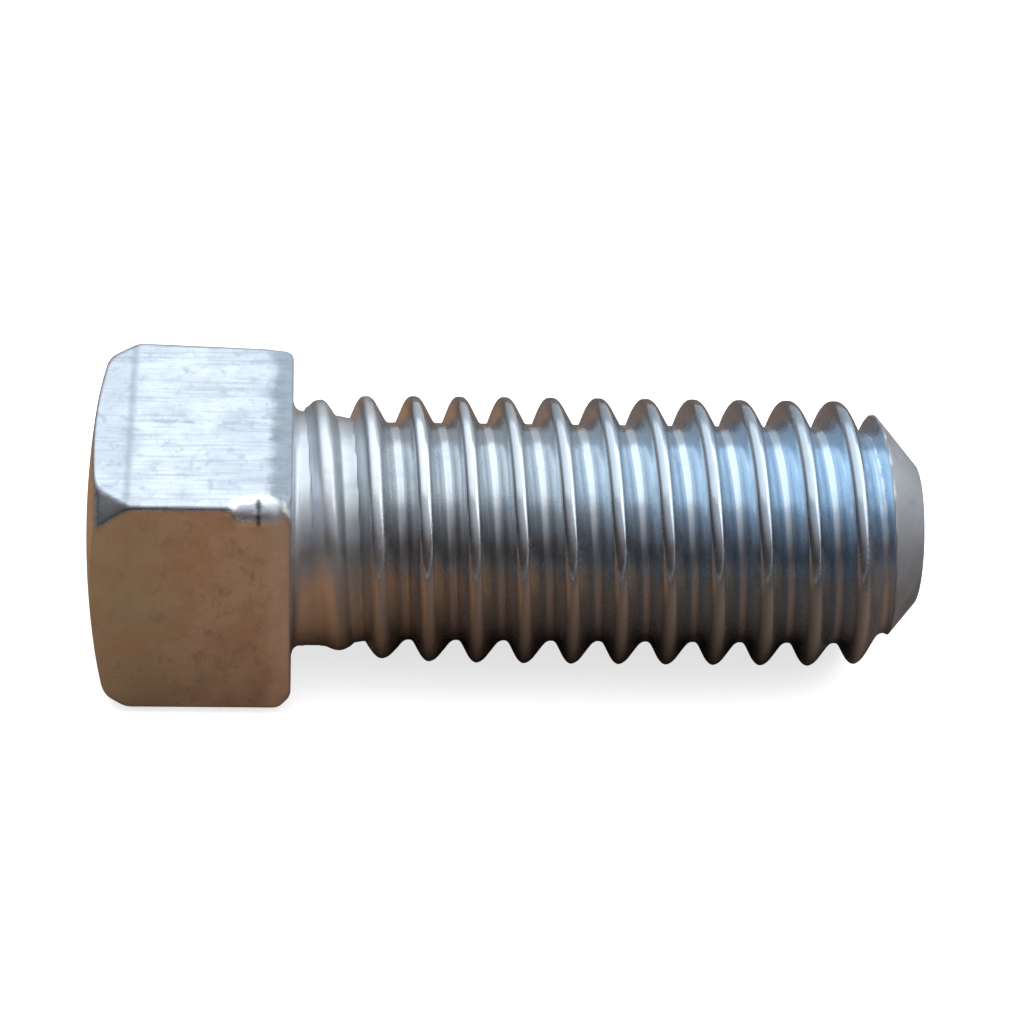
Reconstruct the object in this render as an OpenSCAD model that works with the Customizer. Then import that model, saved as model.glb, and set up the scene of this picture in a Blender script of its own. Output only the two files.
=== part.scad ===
// Square head set screw with a cup point, 5/16 in - 18 threads to the inch, 3/4 in long, right hand.
//
// All sizes are in millimetres.
// The screw lies along X: the head is on the -X side and the point on the +X side.
// X = 0 is the flat under the head, and the X axis is the middle of the thread.
// The head's flats face +Y, -Y, +Z and -Z.

/* [Head] */

// Distance between two opposite flats of the square head
head_width = 7.75; // [7.4:0.05:8.1]
// Height of the head from the flat under it to the top of the crown
head_height = 6; // [5.7:0.05:6.4]
// Rounding of the four long corners
head_corner_r = 0.2; // [0.15:0.05:0.5]
// Radius of the crowned top
crown_r = 23; // [18:0.5:25]
// Diameter of the circle where the crown meets the chamfer on the corners
crown_d = 9.7; // [9.2:0.05:10]
// Slope of the chamfer on the corners, measured from the flats
head_chamfer_angle = 29; // [25:1:35]
// Chamfer of the corners next to the neck
head_foot_chamfer = 0.25; // [0.2:0.05:0.4]

/* [Neck] */

// Diameter of the plain neck, the same as the blank before the thread was rolled
neck_d = 6.94; // [6.86:0.02:7.1]
// Length of the plain neck under the head
neck_length = 1.35; // [1.2:0.05:1.6]
// Length over which the groove reaches its full depth
groove_run_out = 1.65; // [1.4:0.05:2]
// Rounding between the head and the neck
neck_fillet_r = 0.3; // [0.2:0.05:0.4]

/* [Thread] */

// Diameter over the crests
thread_d = 7.92; // [7.8:0.02:8]
// Crests in one inch of length
threads_per_inch = 18; // [17:1:19]
// Radial depth from a crest to the root beside it
thread_depth = 0.82; // [0.78:0.01:0.88]
// Angle between the two sides of a groove
thread_angle = 60; // [56:1:60]
// Turn of the whole thread about the axis
thread_turn = 80; // [0:1:359]

/* [Point] */

// Length from the flat under the head to the tip of the point
length_under_head = 18.55; // [17:0.05:19.05]
// Diameter of the flat rim at the tip
point_d = 4.14; // [3.96:0.02:4.36]
// Slope of the cone behind the tip, measured from the axis
point_angle = 45; // [42:1:48]
// Width of the flat rim around the cup
rim_width = 0.2; // [0.15:0.05:0.3]
// Full angle of the cup in the tip
cup_angle = 118; // [110:1:124]

/* [Fineness] */

// Straight steps in one turn of the thread
steps = 48; // [36:4:48]

/* [Hidden] */

inch = 25.4;
pitch = inch / threads_per_inch;
thread_r = thread_d / 2;
root_r = thread_r - thread_depth;
neck_r = neck_d / 2;
point_r = point_d / 2;
cup_r = point_r - rim_width;

// How far cuts and joined pieces run past the faces they cross
over = 1;

// Radius at which the thread begins, inside the neck
buried_r = root_r - pitch / 14;

// Shape of one ridge, from its crest down to the root on either side
crest_half = pitch / 24;
shoulder_half = pitch / 10;
shoulder_r = thread_r - thread_depth / 11;
foot_r = root_r + thread_depth / 12;
foot_half = shoulder_half + (shoulder_r - foot_r) * tan(thread_angle / 2);

// One pitch of the thread, as distance along the axis and radius
ridge = [
    [-pitch / 2, root_r],
    [-foot_half, foot_r],
    [-shoulder_half, shoulder_r],
    [-crest_half, thread_r],
    [crest_half, thread_r],
    [shoulder_half, shoulder_r],
    [foot_half, foot_r]
];
points_in_ridge = len(ridge);

// Where the thread starts inside the neck, and where it rises to full height
thread_start = -pitch / 2;
rise_start = -pitch / 4;
rise_length = pitch * 4 / 3;
thread_rows = steps * (ceil((length_under_head - thread_start) / pitch) + 2);

$fn = 96;

// Thread

// Height of the thread at a place along the axis: 0 is buried in the neck and 1 is full height
function rise(along) =
    along <= rise_start ? 0 :
    along >= rise_start + rise_length ? 1 :
    sin(90 * (along - rise_start) / rise_length);

// Point number j of the ridge in row number i of the helix
function thread_point(i, j) =
    let (
        along = thread_start + pitch * i / steps + ridge[j][0],
        radius = buried_r + (ridge[j][1] - buried_r) * rise(along),
        turn = thread_turn + 360 * i / steps
    )
    [along, radius * cos(turn), radius * sin(turn)];

// Place of that point in the list; the point after the last one of a ridge opens the next ridge
function place(i, j) =
    j < points_in_ridge ? i * points_in_ridge + j : (i + steps) * points_in_ridge;

// Threaded rod with both ends closed, the near one inside the neck and the far one past the tip
module threaded_rod() {
    last_row = thread_rows;
    last_point = points_in_ridge - 1;
    surface = [
        for (i = [0 : last_row])
            for (j = [0 : last_point])
                thread_point(i, j)
    ];
    near_middle = len(surface);
    far_middle = near_middle + 1;
    middles = [
        [thread_start, 0, 0],
        [thread_start + pitch * last_row / steps, 0, 0]
    ];
    whole_ridges = [
        for (i = [0 : last_row - 1])
            for (j = [0 : (i < last_row - steps ? last_point : last_point - 1)])
                for (half = [0, 1])
                    half == 0
                        ? [place(i, j), place(i, j + 1), place(i + 1, j + 1)]
                        : [place(i, j), place(i + 1, j + 1), place(i + 1, j)]
    ];
    near_edge = concat(
        [for (j = [0 : last_point]) place(0, j)],
        [for (i = [steps : -1 : 1]) place(i, 0)]
    );
    far_edge = concat(
        [for (j = [0 : last_point]) place(last_row, j)],
        [for (i = [last_row - 1 : -1 : last_row - steps]) place(i, last_point)]
    );
    near_cap = [
        for (k = [0 : len(near_edge) - 1])
            [near_middle, near_edge[(k + 1) % len(near_edge)], near_edge[k]]
    ];
    far_cap = [
        for (k = [0 : len(far_edge) - 1])
            [far_middle, far_edge[k], far_edge[(k + 1) % len(far_edge)]]
    ];
    polyhedron(
        points = concat(surface, middles),
        faces = concat(whole_ridges, near_cap, far_cap),
        convexity = 10
    );
}

// Turned shapes, drawn with the axis upright and laid along X

module lay_along_x() {
    rotate([0, 90, 0])
        children();
}

// Everything outside this shape is cut away at the point
module point_limit() {
    wide_r = thread_r + over;
    lay_along_x()
        rotate_extrude()
            polygon([
                [0, -over],
                [wide_r, -over],
                [wide_r, length_under_head - (wide_r - point_r) / tan(point_angle)],
                [point_r, length_under_head],
                [0, length_under_head]
            ]);
}

// Cone that makes the cup
module cup() {
    slope = tan(cup_angle / 2);
    lay_along_x()
        rotate_extrude()
            polygon([
                [0, length_under_head - cup_r / slope],
                [cup_r + over * slope, length_under_head + over],
                [0, length_under_head + over]
            ]);
}

// Plain neck with the rounding under the head, and the cone on which the groove runs out
module neck() {
    fillet_out = neck_r + neck_fillet_r;
    lay_along_x()
        rotate_extrude()
            difference() {
                polygon([
                    [0, -over],
                    [fillet_out, -over],
                    [fillet_out, 0],
                    [fillet_out, neck_fillet_r],
                    [neck_r, neck_fillet_r],
                    [neck_r, neck_length],
                    [buried_r, neck_length + groove_run_out * (neck_r - buried_r) / (neck_r - root_r)],
                    [0, neck_length + groove_run_out]
                ]);
                translate([fillet_out, neck_fillet_r])
                    circle(r = neck_fillet_r);
            }
}

// Head

module head_square() {
    core = head_width - 2 * head_corner_r;
    corner = core / 2;
    square([head_width, core], center = true);
    square([core, head_width], center = true);
    for (x = [-corner, corner])
        for (y = [-corner, corner])
            translate([x, y])
                circle(r = head_corner_r);
}

// Crown, chamfered corners and foot of the head, drawn with the crown downwards
module head_limit() {
    wide_r = head_width;
    corner_r = head_width / sqrt(2);
    crown_edge = -head_height + crown_r - sqrt(pow(crown_r, 2) - pow(crown_d / 2, 2));
    rotate_extrude()
        intersection() {
            translate([0, crown_r - head_height])
                circle(r = crown_r);
            polygon([
                [0, -head_height - over],
                [crown_d / 2, -head_height - over],
                [crown_d / 2, crown_edge],
                [wide_r, crown_edge + (wide_r - crown_d / 2) / tan(head_chamfer_angle)],
                [wide_r, -wide_r + corner_r - head_foot_chamfer],
                [corner_r - head_foot_chamfer, 0],
                [0, 0]
            ]);
        }
}

module head() {
    lay_along_x()
        intersection() {
            translate([0, 0, -head_height - over])
                linear_extrude(height = head_height + over)
                    head_square();
            head_limit();
        }
}

// The whole part

module set_screw() {
    color([0.78, 0.8, 0.83])
        union() {
            head();
            difference() {
                intersection() {
                    union() {
                        neck();
                        threaded_rod();
                    }
                    point_limit();
                }
                cup();
            }
        }
}

set_screw();
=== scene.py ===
"""Square head set screw, cold headed and roll threaded, with bright zinc plating.

Lengths are in millimetres until the mesh is finished; the scene is in metres.
The screw lies along X, with its head on the -X side and the flat under the head at X = 0.
It rests on the crests of its thread. The near side of the head faces -Y, and up is +Z.
"""

import math
from types import SimpleNamespace

import bmesh
import bpy
import numpy as np
from mathutils import Matrix, Vector


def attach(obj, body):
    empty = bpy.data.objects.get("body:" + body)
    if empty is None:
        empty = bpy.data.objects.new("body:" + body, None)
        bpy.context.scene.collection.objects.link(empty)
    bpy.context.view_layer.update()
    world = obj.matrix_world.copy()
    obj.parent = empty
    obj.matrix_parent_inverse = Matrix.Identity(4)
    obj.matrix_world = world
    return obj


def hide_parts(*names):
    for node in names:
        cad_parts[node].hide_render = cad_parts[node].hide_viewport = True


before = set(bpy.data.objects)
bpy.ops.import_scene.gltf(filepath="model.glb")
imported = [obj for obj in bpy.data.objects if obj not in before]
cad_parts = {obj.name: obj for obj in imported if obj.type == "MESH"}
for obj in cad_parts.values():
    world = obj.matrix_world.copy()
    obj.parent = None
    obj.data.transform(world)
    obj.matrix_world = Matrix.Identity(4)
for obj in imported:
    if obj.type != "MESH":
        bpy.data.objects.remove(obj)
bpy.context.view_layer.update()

MM = 0.001

# Sizes of this one screw, whose surface departs from the part's plain one by about 0.3 mm at most

HEAD_WIDTH = 7.75
HEAD_HEIGHT = 6.0
CORNER_R = 0.2
CROWN_R = 23.0
CROWN_EDGE_R = 4.98
HEAD_CHAMFER = math.radians(29)
FOOT_CHAMFER = 0.44

NECK_R = 3.47
NECK_FILLET = 0.3
NECK_LENGTH = 1.35
GROOVE_RUN_OUT = 1.65

THREAD_R = 3.956
THREAD_DEPTH = 0.82
PITCH = 25.4 / 18
THREAD_TURN = math.radians(80)

LENGTH = 18.55
POINT_R = 2.07
POINT_ANGLE = math.radians(50)
RIM_WIDTH = 0.2
CUP_ANGLE = math.radians(118)

# The screw lies on the crests of its thread
FLOOR_Z = -THREAD_R

# How the head was struck off its middle, in Y and Z: the whole head, its crown and its chamfer
HEAD_SHIFT = (0.02, 0.08)
CROWN_SHIFT = (-0.59, 0.31)
CHAMFER_SHIFT = (-0.017, -0.097)

# The back flat leans in from LEAN_X to the neck, and every flat falls away just before it
LEAN_X = -5.2
LEAN_SLOPE = 0.053
FALL_X = -0.45
FALL_SLOPE = 0.05

# Rounding of the head's edges: along the flats, between crown and chamfer, and around the underside
SIDE_EDGE = 0.09
CROWN_EDGE = 0.18
UNDER_EDGE = 0.12

# The nick in the near upper corner: a knocked round stretch of the corner with a short groove across it
KNOCKED_FROM = (-1.85, -1.45)
KNOCKED_TO = (-0.4, -0.15)
KNOCKED_R = 0.55
NICK = (-0.95, -4.05, 4.05)
NICK_REACH = 0.6
NICK_NARROWNESS = 3.0
NICK_EDGE = 0.05

# The thread was rolled a little off centre. The side named here came out sharper, higher and sooner;
# each pair below holds for the opposite side and for this one.
UPPER_SIDE = math.radians(50)
# Radius half way up a ridge, and there the reach and the steepness of the two sides of a ridge
MID_RIDGE_R = 3.55
HEAD_SIDE_REACH = (0.378, 0.36)
HEAD_SIDE_SLOPE = (2.0, 2.58)
POINT_SIDE_REACH = (0.432, 0.362)
POINT_SIDE_SLOPE = (1.3, 1.83)
ROOT_LIFT = (0.143, 0.03)
# Where the ridge begins to rise from the neck, how slowly it does, and where the groove starts
RISE_X = (0.92, -0.13)
RISE_LENGTH = (1.23, 0.71)
GROOVE_X = (NECK_LENGTH + 0.3, NECK_LENGTH - 0.45)

# Roundings of the thread: crest on its two sides, root, start of the groove, foot on the neck and point
CREST_ROUND_HEAD_SIDE = 0.3
CREST_ROUND_POINT_SIDE = 0.22
ROOT_ROUND = 0.15
GROOVE_ROUND = 0.6
FOOT_ROUND = 0.06
POINT_ROUND = 0.07

# The first ridges stand a little late on the upper side, which fades out between these places
LATE = 0.15
LATE_SPAN = (3.5, 7.5)
# Reach of the first turn's gentle swell on its side towards the head, and where it fades out
SWELL_REACH = 0.42
SWELL_SPAN = (0.9, 1.8)
# The blank's end was chamfered, so the last turn stands lower
LAST_TURN_DROP = 0.36
LAST_TURN_SPAN = (16.3, 18.0)


# Shapes

def soft_min(a, b, blend):
    """Smaller of two values, rounded over where they meet."""
    overlap = np.maximum(blend - np.abs(a - b), 0) / blend
    return np.minimum(a, b) - overlap ** 2 * blend / 4


def soft_max(a, b, blend):
    """Larger of two values, rounded over where they meet."""
    return -soft_min(-a, -b, blend)


def ramp(value, start, end):
    """0 before start, 1 after end, and a smooth rise between."""
    t = np.clip((value - start) / (end - start), 0, 1)
    return t * t * (3 - 2 * t)


def thread_radius(x, turn):
    """Radius of the rolled thread, its run-out on the neck and the chamfered point."""
    # 1 on the upper side and 0 opposite it
    up = 0.5 + 0.5 * np.cos(turn - UPPER_SIDE)

    def by_side(pair):
        return pair[0] + (pair[1] - pair[0]) * up

    # distance past the nearest crest of a right-hand helix, negative on its side towards the head
    turns = (turn - THREAD_TURN) / (2 * math.pi)
    late = LATE * up * (1 - ramp(x, *LATE_SPAN))
    along = (x - late) / PITCH + 0.5 - turns
    past_crest = (along - np.round(along)) * PITCH
    head_side = past_crest < 0

    # section of a ridge and the groove beside it, leaning towards the head
    flank = MID_RIDGE_R + np.where(
        head_side,
        by_side(HEAD_SIDE_SLOPE) * (by_side(HEAD_SIDE_REACH) + past_crest),
        by_side(POINT_SIDE_SLOPE) * (by_side(POINT_SIDE_REACH) - past_crest))
    crest_round = np.where(head_side, CREST_ROUND_HEAD_SIDE, CREST_ROUND_POINT_SIDE)
    root = THREAD_R - THREAD_DEPTH + by_side(ROOT_LIFT)
    section = soft_max(soft_min(flank, THREAD_R, crest_round), root, ROOT_ROUND)

    # the ridge rises from the neck, and its first turn swells gently out of it
    rise = 1 - np.exp(-np.maximum(x - by_side(RISE_X), 0) / by_side(RISE_LENGTH))
    ridge = np.maximum(section - NECK_R, 0) * rise
    before_crest = np.maximum(-past_crest, 0)
    swell = (THREAD_R - NECK_R) * rise * np.exp(-(before_crest / SWELL_REACH) ** 2)
    first_turn = (1 - ramp(x + before_crest, *SWELL_SPAN)) * head_side
    ridge = np.maximum(ridge, swell * first_turn)

    # the groove runs out on a cone that opens towards the head
    groove = np.minimum(section - NECK_R, 0)
    run = (x - by_side(GROOVE_X)) / GROOVE_RUN_OUT
    run_out = NECK_R - THREAD_DEPTH / 2 * np.minimum(soft_max(run, 0 * run, GROOVE_ROUND), 2)
    radius = soft_max(NECK_R + ridge + groove, run_out, FOOT_ROUND)
    radius = radius - LAST_TURN_DROP * ramp(x, *LAST_TURN_SPAN)

    # rounding under the head
    out = np.clip(NECK_FILLET - x, 0, NECK_FILLET)
    fillet = NECK_R + NECK_FILLET - np.sqrt(np.maximum(NECK_FILLET ** 2 - out ** 2, 0))
    radius = np.maximum(radius, np.where(x < NECK_FILLET, fillet, 0))

    cone = POINT_R + (LENGTH - x) * math.tan(POINT_ANGLE)
    return soft_min(radius, cone, POINT_ROUND)


def turned_body():
    """Neck, thread and point: a fine outline spun about X, then shaped to the thread."""
    # the near end is closed inside the head, where a cone meets the rounding of the neck
    inside_x, inside_r = -0.4, 2.0
    flare_x = -0.05
    thread_end = LENGTH - 0.02
    rows_along, rows_around = 360, 160
    rim_round = 0.03
    # a small ring of faces closes the bottom of the cup, as a share of its size
    ring = 0.06
    cup_r = POINT_R - RIM_WIDTH
    cup_depth = cup_r / math.tan(CUP_ANGLE / 2)
    outline = [(inside_x, 0.0), (inside_x, inside_r), (inside_x, NECK_R)]
    outline.append((flare_x, NECK_R + NECK_FILLET))
    outline += [(thread_end * i / rows_along, NECK_R) for i in range(rows_along + 1)]
    outline += [
        (LENGTH, POINT_R - rim_round),
        (LENGTH, cup_r + rim_round),
        (LENGTH - rim_round, cup_r - 0.02),
        (LENGTH - cup_depth * (1 - ring), cup_r * ring),
        (LENGTH - cup_depth, 0.0),
    ]
    body = bmesh.new()
    points = [body.verts.new((x, 0, r)) for x, r in outline]
    lines = [body.edges.new(pair) for pair in zip(points, points[1:])]
    bmesh.ops.spin(body, geom=points + lines, cent=(0, 0, 0), axis=(1, 0, 0),
                   angle=2 * math.pi, steps=rows_around, use_merge=True)
    bmesh.ops.remove_doubles(body, verts=body.verts, dist=1e-4)
    mesh = bpy.data.meshes.new("turned_body")
    body.to_mesh(mesh)
    body.free()

    place = np.empty(len(mesh.vertices) * 3)
    mesh.vertices.foreach_get("co", place)
    x, y, z = place.reshape(-1, 3).T
    turn = np.arctan2(z, y)
    r = np.hypot(y, z)
    shaped = (x > -1e-4) & (x < thread_end + 1e-4) & (np.abs(r - NECK_R) < 1e-3)
    r = np.where(shaped, thread_radius(x, turn), r)
    mesh.vertices.foreach_set("co", np.stack([x, r * np.cos(turn), r * np.sin(turn)], 1).ravel())
    return mesh


def head_depth(x, y, z):
    """How far a point lies outside the head: negative inside, zero on its surface."""
    # the square with its rounded corners
    half = HEAD_WIDTH / 2 - FALL_SLOPE * np.maximum(x - FALL_X + 0.1 * z, 0)
    lean = np.where(y > 0, LEAN_SLOPE * np.maximum(x - LEAN_X, 0), 0)
    knocked = ramp(x, *KNOCKED_FROM) * (1 - ramp(x, *KNOCKED_TO)) * (y < 0) * (z > 0)
    corner_r = CORNER_R + KNOCKED_R * knocked
    side_y = np.abs(y) + lean - half + corner_r
    side_z = np.abs(z) - half + corner_r
    past_corner = np.hypot(np.maximum(side_y, 0), np.maximum(side_z, 0))
    flats = past_corner + np.minimum(np.maximum(side_y, side_z), 0) - corner_r

    # the crown with its chamfer, and the chamfered foot
    crown_r = np.hypot(y - CROWN_SHIFT[0], z - CROWN_SHIFT[1])
    crown = np.hypot(x + HEAD_HEIGHT - CROWN_R, crown_r) - CROWN_R
    crown_edge_x = -HEAD_HEIGHT + CROWN_R - math.sqrt(CROWN_R ** 2 - CROWN_EDGE_R ** 2)
    out = np.hypot(y - CHAMFER_SHIFT[0], z - CHAMFER_SHIFT[1]) - CROWN_EDGE_R
    chamfer = out * math.cos(HEAD_CHAMFER) - (x - crown_edge_x) * math.sin(HEAD_CHAMFER)
    foot = (x + np.hypot(y, z) - HEAD_WIDTH / math.sqrt(2) + FOOT_CHAMFER) / math.sqrt(2)

    top = soft_max(crown, chamfer, CROWN_EDGE)
    under = soft_max(x, foot, UNDER_EDGE)
    shape = soft_max(soft_max(flats, top, SIDE_EDGE), under, UNDER_EDGE)
    nick_x, nick_y, nick_z = NICK
    from_nick = np.sqrt((NICK_NARROWNESS * (x - nick_x)) ** 2 + (y - nick_y) ** 2 + (z - nick_z) ** 2)
    return soft_max(shape, NICK_REACH - from_nick, NICK_EDGE)


def head():
    """Crowned square head: a fine grid box pulled onto the head's surface."""
    box = bmesh.new()
    bmesh.ops.create_cube(box, size=2)
    bmesh.ops.subdivide_edges(box, edges=box.edges, cuts=80, use_grid_fill=True)
    mesh = bpy.data.meshes.new("head")
    box.to_mesh(mesh)
    box.free()

    place = np.empty(len(mesh.vertices) * 3)
    mesh.vertices.foreach_get("co", place)
    # the grid is closer near the edges, where the surface bends
    spread = 0.96 * math.pi / 2
    direction = np.sin(place.reshape(-1, 3) * spread) / math.sin(spread)
    direction *= np.array([HEAD_HEIGHT, HEAD_WIDTH, HEAD_WIDTH]) / 2
    middle = np.array([-HEAD_HEIGHT / 2, 0, 0])
    # each point moves along its direction until halving finds the surface
    near = np.full(len(direction), 0.3)
    far = np.full(len(direction), 1.6)
    for _ in range(40):
        half_way = (near + far) / 2
        inside = head_depth(*(middle + direction * half_way[:, None]).T) < 0
        near = np.where(inside, half_way, near)
        far = np.where(inside, far, half_way)
    shift = np.array([0, *HEAD_SHIFT])
    mesh.vertices.foreach_set("co", (middle + shift + direction * near[:, None]).ravel())
    return mesh


def screw():
    both = bmesh.new()
    for mesh in (head(), turned_body()):
        both.from_mesh(mesh)
        bpy.data.meshes.remove(mesh)
    bmesh.ops.recalc_face_normals(both, faces=both.faces)
    bmesh.ops.scale(both, vec=(MM, MM, MM), verts=both.verts)
    mesh = bpy.data.meshes.new("screw")
    both.to_mesh(mesh)
    both.free()
    mesh.polygons.foreach_set("use_smooth", [True] * len(mesh.polygons))
    mesh.set_sharp_from_angle(angle=math.radians(40))
    piece = bpy.data.objects.new("screw", mesh)
    bpy.context.scene.collection.objects.link(piece)
    return piece


# Finishes

class Signal:
    """A socket that can be used in a Python expression, which adds its Math nodes."""

    def __init__(self, finish, socket):
        self.finish = finish
        self.socket = socket

    def math(self, operation, *others, clamp=False):
        values = dict(enumerate((self,) + others))
        node = self.finish.node("ShaderNodeMath", {"operation": operation, "use_clamp": clamp}, values)
        return Signal(self.finish, node.outputs[0])

    def __add__(self, other):
        return self.math("ADD", other)

    def __sub__(self, other):
        return self.math("SUBTRACT", other)

    def __rsub__(self, other):
        return self * -1 + other

    def __mul__(self, other):
        return self.math("MULTIPLY", other)

    __radd__ = __add__
    __rmul__ = __mul__

    def __truediv__(self, other):
        return self.math("DIVIDE", other)

    def near(self, centre, reach):
        """1 at the centre, falling to 0 at the given reach on either side."""
        return (self - centre).math("ABSOLUTE").ramp(reach, 0.0)

    def ramp(self, start, end):
        """0 at start, 1 at end, smooth between."""
        node = self.finish.node("ShaderNodeMapRange", {"interpolation_type": "SMOOTHSTEP"},
                                {"Value": self, "From Min": start, "From Max": end})
        return Signal(self.finish, node.outputs["Result"])


class Finish:
    """A material and the nodes in it."""

    def __init__(self, name):
        self.material = bpy.data.materials.new(name)
        self.material.use_nodes = True
        self.tree = self.material.node_tree
        self.surface = self.tree.nodes["Principled BSDF"]

    def node(self, kind, settings=None, values=None):
        made = self.tree.nodes.new(kind)
        for name, value in (settings or {}).items():
            setattr(made, name, value)
        for name, value in (values or {}).items():
            self.feed(made.inputs[name], value)
        return made

    def feed(self, socket, value):
        if isinstance(value, Signal):
            self.tree.links.new(value.socket, socket)
        elif isinstance(value, bpy.types.NodeSocket):
            self.tree.links.new(value, socket)
        else:
            socket.default_value = value

    def place(self):
        """Place on the piece in millimetres, as a vector."""
        metres = self.node("ShaderNodeTexCoord").outputs["Object"]
        scaled = self.node("ShaderNodeVectorMath", {"operation": "SCALE"}, {0: metres, "Scale": 1 / MM})
        return scaled.outputs[0]

    def axes(self, place):
        parts = self.node("ShaderNodeSeparateXYZ", {}, {0: place})
        return (Signal(self, parts.outputs[axis]) for axis in ("X", "Y", "Z"))

    def noise(self, place, scale, detail=3.0, roughness=0.55, distortion=0.0):
        made = self.node("ShaderNodeTexNoise", {}, {
            "Vector": place, "Scale": scale, "Detail": detail,
            "Roughness": roughness, "Distortion": distortion})
        return Signal(self, made.outputs["Fac"])

    def stretch(self, place, scale):
        return self.node("ShaderNodeMapping", {}, {"Vector": place, "Scale": scale}).outputs[0]

    def mix(self, amount, first, second):
        made = self.node("ShaderNodeMix", {"data_type": "RGBA"}, {0: amount, 6: first, 7: second})
        return made.outputs[2]

    def layered(self, colour, layers):
        """A colour with others laid over it, each given as the amount that covers and the colour."""
        for amount, cover in layers:
            colour = self.mix(amount, colour, cover)
        return colour

    def set(self, **values):
        for name, value in values.items():
            self.feed(self.surface.inputs[name.replace("_", " ")], value)


def screw_zones(finish, place):
    """Masks that are 1 on one zone of the screw and 0 elsewhere."""
    x, y, z = finish.axes(place)
    r = (y * y + z * z).math("SQRT")
    thread = x.ramp(0.0, 0.15)
    head = 1 - thread
    top_flat = z.ramp(3.6, 3.8) * head
    sides = 1 - top_flat
    deep = (THREAD_R - r).ramp(THREAD_DEPTH * 0.5, THREAD_DEPTH * 0.95)
    # roots below the lit upper side: painted shade darkens them, and they are rougher
    root = deep * thread * z.ramp(3.15, 2.2)
    cone_run = 1 / math.tan(POINT_ANGLE)
    cone_x = LENGTH + POINT_R * cone_run
    point = (x + r * cone_run).ramp(cone_x - 0.14, cone_x - 0.05)

    # distance past the nearest crest, as in thread_radius
    turns = z.math("ARCTAN2", y) * (1 / (2 * math.pi)) - THREAD_TURN / (2 * math.pi)
    past_crest = ((x / PITCH - turns + 1.0).math("FRACT") - 0.5) * PITCH
    # crests, whose colour is darkened as painted shade to dim their reflection
    crest = past_crest.near(-0.12, 0.27) * (r - 3.6).ramp(0.0, 0.2) * thread
    # flanks, painted bluer towards the point and greyer near the head as painted reflection and shade
    flank = past_crest.near(-0.38, 0.5) * thread * (1 - point)
    # feet of the ridges on the lower side, where shade is painted in the crease
    ridge_foot_shade = past_crest.near(-0.56, 0.1) * x.ramp(2.4, 3.6) * z.ramp(3.2, 2.4)
    return SimpleNamespace(x=x, y=y, z=z, thread=thread, head=head, top_flat=top_flat, sides=sides,
                           root=root, point=point, crest=crest, flank=flank, ridge_foot_shade=ridge_foot_shade)


def surface_noises(finish, place):
    """How the plating varies, from broad clouds to fine grain and brushed streaks."""
    stretched = {name: finish.stretch(place, scale) for name, scale in (
        ("blotches", (0.7, 1.0, 1.0)),
        ("spots", (1.0, 0.7, 0.7)),
        ("streaks", (0.5, 9.0, 9.0)),
        ("mottle", (3.2, 1.6, 1.6)))}
    return SimpleNamespace(
        clouds=finish.noise(place, 0.9, 4.0, 0.6, 0.4),
        blotches=finish.noise(stretched["blotches"], 1.7, 3.0, 0.6),
        spots=finish.noise(stretched["spots"], 3.2, 3.0, 0.6),
        grain=finish.noise(place, 14.0, 3.0, 0.6),
        streaks=finish.noise(stretched["streaks"], 1.0, 3.0, 0.5),
        mottle=finish.noise(stretched["mottle"], 1.0, 2.0, 0.6))


def handling_marks(finish, place, zone, noise):
    """Marks that making and handling left on the head, and masks for painted light and shade on the
    band beside the neck and on the nick.
    """
    x, y, z = zone.x, zone.y, zone.z

    # a rougher band beside the neck, darkened on the top flat as painted shade and paled on the sides
    # as painted light, and a faint line where the heading die ended
    rough_band_painted_light = (x + noise.blotches * 0.5 + noise.spots * 0.3).ramp(-0.42, 0.02) * zone.head
    from_die_line = x + 4.62 + noise.clouds * 0.1
    line_strength = (0.2 + zone.top_flat * 0.8) * zone.head * (0.4 + noise.grain)
    die_line = from_die_line.near(0.0, 0.19) * line_strength

    # a light broken scratch along the top flat
    wander = finish.noise(finish.stretch(place, (1.3, 0, 0)), 1.0, 1.0, 0.5)
    scratch = (y + wander * 0.2 - 0.12).near(0.0, 0.13) * zone.top_flat * x.near(-2.9, 3.0)
    scratch = scratch * finish.noise(place, 2.2, 2.0, 0.5).ramp(0.4, 0.56)

    # the nick: a painted highlight on its rim on the top flat, painted light inside it and a painted
    # shade line across it
    nick_x = NICK[0]
    nick_y = -3.82
    rim_r = 0.48
    from_nick = (((x - nick_x) * 0.67).math("POWER", 2) + (y - nick_y).math("POWER", 2)).math("SQRT")
    nick_rim_highlight = from_nick.near(rim_r, 0.16) * zone.top_flat
    in_nick = from_nick.ramp(0.5, 0.36) * (z - y).ramp(7.02, 7.2) * zone.head
    nick_line_shade = (x - nick_x).near(0.0, 0.13) * in_nick
    return SimpleNamespace(rough_band_painted_light=rough_band_painted_light, die_line=die_line, scratch=scratch,
                           nick_rim_highlight=nick_rim_highlight, in_nick=in_nick, nick_line_shade=nick_line_shade)


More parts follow.
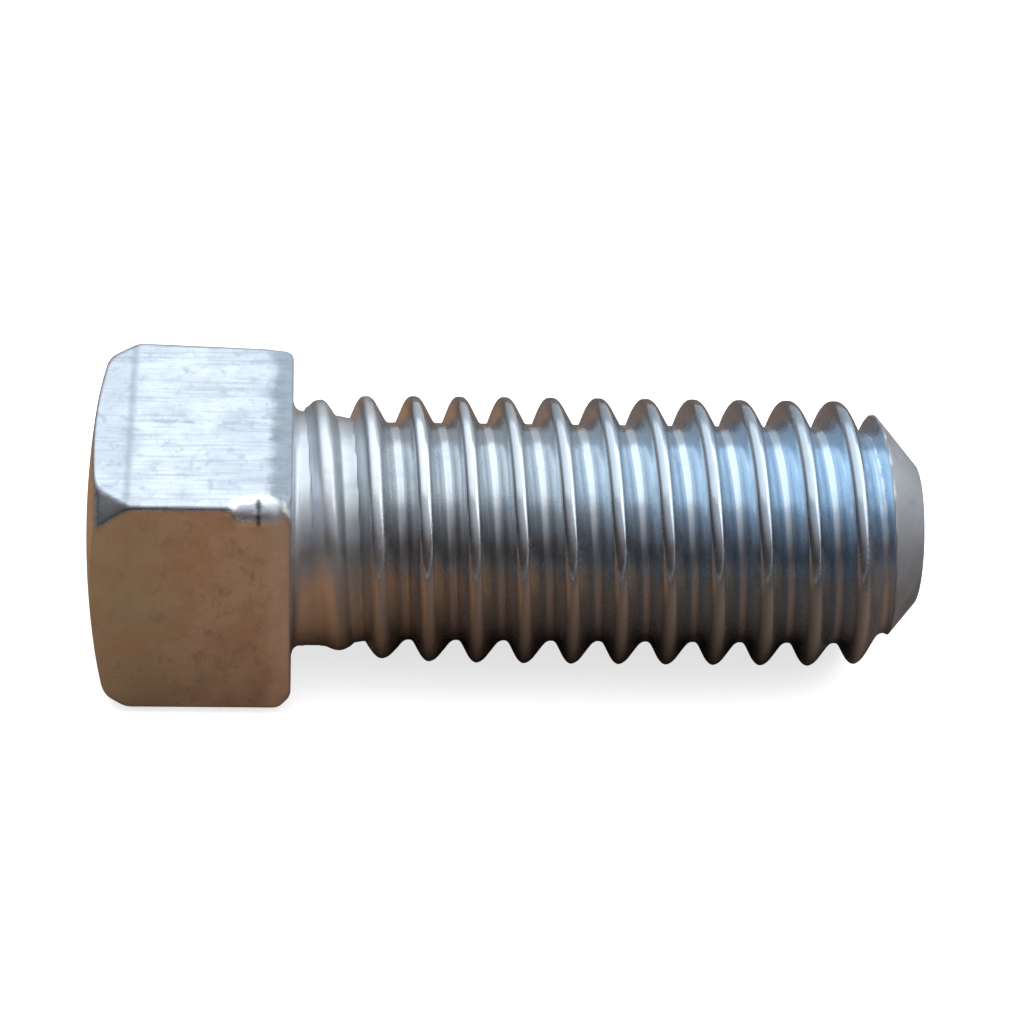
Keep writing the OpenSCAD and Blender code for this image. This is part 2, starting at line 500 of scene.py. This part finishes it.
def plating_colour(finish, zone, noise, mark):
    # The thread's zinc is the head's zinc made darker: painted shade that dims the thread's
    # reflections.
    thread_zinc_shaded = (0.60, 0.63, 0.65, 1)
    head_zinc = (0.614, 0.662, 0.714, 1)
    grey = (0.50, 0.56, 0.63, 1)
    warm = (0.66, 0.61, 0.54, 1)
    tan = (0.60, 0.50, 0.42, 1)
    pale = (0.80, 0.84, 0.90, 1)
    white = (0.97, 0.97, 0.97, 1)
    dark = (0.05, 0.06, 0.08, 1)
    olive = (0.44, 0.56, 0.58, 1)
    blue = (0.47, 0.62, 0.78, 1)
    bright_blue = (0.39, 0.60, 0.78, 1)
    dull = (0.32, 0.32, 0.33, 1)
    shade = (0.30, 0.34, 0.38, 1)
    x, z = zone.x, zone.z
    behind_point = 1 - zone.point
    return finish.layered(thread_zinc_shaded, (
        (zone.head, head_zinc),
        (noise.blotches.ramp(0.5, 0.75) * 0.5, grey),
        (noise.clouds.ramp(0.52, 0.75) * 0.35, warm),
        # the thread, all painted light: a painted blue reflection towards the point and on its flanks,
        # painted shade on flanks near the head, on crests, in lower roots and at ridge feet, and a
        # painted pale reflection on the lower side of its last turn
        (zone.root * 0.5, dull),
        (x.ramp(5, 17) * behind_point * 0.45, blue),
        (x.ramp(3, 14) * zone.flank * 0.55, bright_blue),
        (x.ramp(9, 2) * zone.flank * 0.25, shade),
        (zone.crest * 0.8, shade),
        # painted pale reflection on the lower side of the last turn
        (x.ramp(16.4, 16.9) * behind_point * z.ramp(2.2, 1.0) * 0.55, pale),
        (zone.ridge_foot_shade * 0.5, dull),
        # uneven plating on the head and the cone, the head's sides olive towards the crown and tan in
        # clouds, and painted shade on the top flat past the die line and towards the neck
        (noise.clouds.ramp(0.38, 0.62) * zone.head * 0.28, shade),
        (noise.spots.ramp(0.52, 0.74) * zone.head * 0.55, shade),
        (noise.streaks.ramp(0.45, 0.75) * zone.top_flat * 0.5, shade),
        (noise.grain.ramp(0.55, 0.75) * zone.point * 0.3, shade),
        (mark.die_line * 0.75, shade),
        # painted shade on the top flat past the die line
        (x.ramp(-4.6, -4.75) * zone.top_flat * 0.2, shade),
        # painted shade on the top flat towards the neck
        (x.ramp(-2.6, -0.8) * zone.top_flat * 0.14, shade),
        (x.ramp(-2.4, -4.4) * zone.head * zone.sides * 0.6, olive),
        (noise.clouds.ramp(0.42, 0.66) * zone.head * zone.sides * 0.3, tan),
        (zone.point * 0.25, dull),
        # marks: the scratch; painted shade and painted light on the band beside the neck; a painted
        # highlight on the nick's rim, painted light inside it and a painted shade line across it
        (mark.scratch * 0.8, shade),
        (mark.rough_band_painted_light * zone.top_flat * 0.6, shade),
        (mark.rough_band_painted_light * zone.sides * 0.6, pale),
        (mark.nick_rim_highlight * 0.9, white),
        (mark.in_nick * 0.8, pale),
        (mark.nick_line_shade * 0.8, dark)))


def zinc_plating():
    finish = Finish("bright_zinc")
    place = finish.place()
    zone = screw_zones(finish, place)
    noise = surface_noises(finish, place)
    mark = handling_marks(finish, place, zone, noise)

    rough = 0.15 + noise.blotches.ramp(0.4, 0.8) * 0.16 + noise.grain * 0.05
    rough = rough + zone.root * 0.12 + zone.point * 0.3 + zone.head * 0.06
    rough = rough + mark.rough_band_painted_light * (0.12 + zone.top_flat * 0.26)
    rough = rough + zone.x.ramp(3.6, 1.4) * zone.thread * 0.16

    grain_height = noise.grain * 0.22 * (0.5 + zone.head * 0.5 + zone.point)
    height = noise.blotches * 0.2 + grain_height + noise.streaks * 0.12 * zone.head
    height = height - mark.scratch * 0.25 - mark.die_line * 0.15
    height = height + noise.mottle * zone.x.ramp(3.8, 1.4) * zone.thread * 0.8
    bump = finish.node("ShaderNodeBump", {}, {"Strength": 0.3, "Distance": 0.04 * MM, "Height": height})

    finish.set(Metallic=1.0, Base_Color=plating_colour(finish, zone, noise, mark),
               Roughness=rough, Normal=bump.outputs[0])
    return finish.material


# Studio

# The sheets and the lamps are centred on the middle of the screw
SCREW_MIDDLE_X = 6.0


def flat_sheet(name, half_width, height, finish):
    grid = bmesh.new()
    bmesh.ops.create_grid(grid, x_segments=1, y_segments=1, size=half_width * MM)
    bmesh.ops.translate(grid, vec=(SCREW_MIDDLE_X * MM, 0, height * MM), verts=grid.verts)
    mesh = bpy.data.meshes.new(name)
    grid.to_mesh(mesh)
    grid.free()
    mesh.materials.append(finish.material)
    sheet = bpy.data.objects.new(name, mesh)
    bpy.context.scene.collection.objects.link(sheet)
    return sheet


def floor():
    """A pale floor that stays white to the camera and in reflections, under the screw's shadow."""
    finish = Finish("pale_floor")
    rays = finish.node("ShaderNodeLightPath").outputs
    seen = Signal(finish, rays["Is Camera Ray"]) + Signal(finish, rays["Is Glossy Ray"])
    seen = seen + Signal(finish, rays["Is Transmission Ray"])
    glow = finish.mix(seen, (0, 0, 0, 1), (0.72, 0.72, 0.72, 1))
    finish.set(Base_Color=(0.93, 0.93, 0.93, 1), Roughness=0.9, Specular_IOR_Level=0.1,
               Emission_Color=glow, Emission_Strength=1.0)
    flat_sheet("floor", 1500, FLOOR_Z, finish)


def bench_card():
    """A warm brown card on the floor, darker under the screw and away from it as painted shade. It
    shows only in the screw's reflections; the camera sees the floor."""
    finish = Finish("bench_card")
    near_head = (0.405, 0.200, 0.096, 1)
    near_thread = (0.21, 0.120, 0.076, 1)
    at_back = (0.17, 0.125, 0.10, 1)
    in_shadow = (0.07, 0.048, 0.036, 1)
    x, y, _ = finish.axes(finish.place())
    past_ends = (x + 6).math("ABSOLUTE").ramp(26, 50)
    under_screw = y.near(0.5, 4.5).math("MULTIPLY", 1.6, clamp=True) * x.ramp(-2, 2)
    far_front = y.ramp(-18, -80)
    colour = finish.layered(near_thread, (
        (x.ramp(5, 0), near_head),
        (y.ramp(4, 30) * 0.9, at_back),
        (past_ends.math("MAXIMUM", far_front).math("MAXIMUM", under_screw), in_shadow)))
    finish.set(Base_Color=colour, Roughness=0.8, Specular_IOR_Level=0.2)
    sheet = flat_sheet("bench_card", 240, FLOOR_Z + 0.02, finish)
    sheet.visible_camera = False
    sheet.visible_diffuse = False
    sheet.visible_shadow = False


def soft_box(name, place, size, power, colour):
    light = bpy.data.lights.new(name, "AREA")
    light.shape = "RECTANGLE"
    light.size, light.size_y = (s * MM for s in size)
    light.energy = power
    light.color = colour
    lamp = bpy.data.objects.new(name, light)
    lamp.location = [p * MM for p in place]
    towards = Vector((SCREW_MIDDLE_X * MM, 0, 0)) - lamp.location
    lamp.rotation_euler = towards.to_track_quat("-Z", "Y").to_euler()
    bpy.context.scene.collection.objects.link(lamp)


def room_light():
    """A dim room: dark at the horizon, with a pale ceiling that is brightest at the back."""
    brightest = (0.16, 0.41, 0.90)
    ceiling = (
        (0.0, (0.105, 0.085, 0.08, 1)),
        (0.15, (0.21, 0.175, 0.18, 1)),
        (0.5, (0.70, 0.72, 0.77, 1)),
        (1.0, (0.80, 0.88, 1.0, 1)))
    world = bpy.data.worlds.new("room")
    bpy.context.scene.world = world
    world.use_nodes = True
    nodes, links = world.node_tree.nodes, world.node_tree.links
    direction = nodes.new("ShaderNodeTexCoord")
    towards_light = nodes.new("ShaderNodeVectorMath")
    towards_light.operation = "DOT_PRODUCT"
    towards_light.inputs[1].default_value = brightest
    links.new(direction.outputs["Generated"], towards_light.inputs[0])
    blend = nodes.new("ShaderNodeValToRGB")
    stops = blend.color_ramp.elements
    stops.remove(stops[1])
    stops[0].position, stops[0].color = ceiling[0]
    for place, colour in ceiling[1:]:
        stops.new(place).color = colour
    links.new(towards_light.outputs["Value"], blend.inputs[0])
    links.new(blend.outputs[0], nodes["Background"].inputs["Color"])
    nodes["Background"].inputs["Strength"].default_value = 0.9


def camera():
    """Camera placed from the screw's outline in the photograph."""
    elevation, yaw, roll = (math.radians(a) for a in (39.6, 4.3, 3.35))
    distance, shift_x, shift_y = 110.0, -0.024, -0.541
    looks_at = Vector((6.5, 0, 0))
    # scale of the picture at the screw
    pixels_per_mm = 33.63
    picture_width = 1024
    forward = Vector((0, math.cos(elevation), -math.sin(elevation)))
    level_up = Vector((0, math.sin(elevation), math.cos(elevation)))
    level_right = Vector((1, 0, 0))
    right = math.cos(roll) * level_right + math.sin(roll) * level_up
    up = math.cos(roll) * level_up - math.sin(roll) * level_right
    place = -distance * forward - shift_x * right - shift_y * up
    turn = Matrix.Rotation(-yaw, 3, "Z")
    axes = Matrix((turn @ right, turn @ up, turn @ -forward)).transposed()
    data = bpy.data.cameras.new("camera")
    data.sensor_width = 36
    data.lens = data.sensor_width * pixels_per_mm * distance / picture_width
    data.clip_start = 0.01
    view = bpy.data.objects.new("camera", data)
    view.matrix_world = Matrix.Translation((looks_at + turn @ place) * MM) @ axes.to_4x4()
    bpy.context.scene.collection.objects.link(view)
    bpy.context.scene.camera = view


# The scene

piece = screw()
piece.data.materials.append(zinc_plating())
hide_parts("set_screw")
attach(piece, "root")

floor()
bench_card()
soft_box("back_box", place=(10, 95, 280), size=(420, 490), power=0.62, colour=(0.93, 0.97, 0.99))
soft_box("side_window", place=(240, 60, 130), size=(260, 240), power=0.26, colour=(0.90, 0.95, 1.0))
room_light()
camera()
bpy.context.scene.view_settings.view_transform = "Standard"
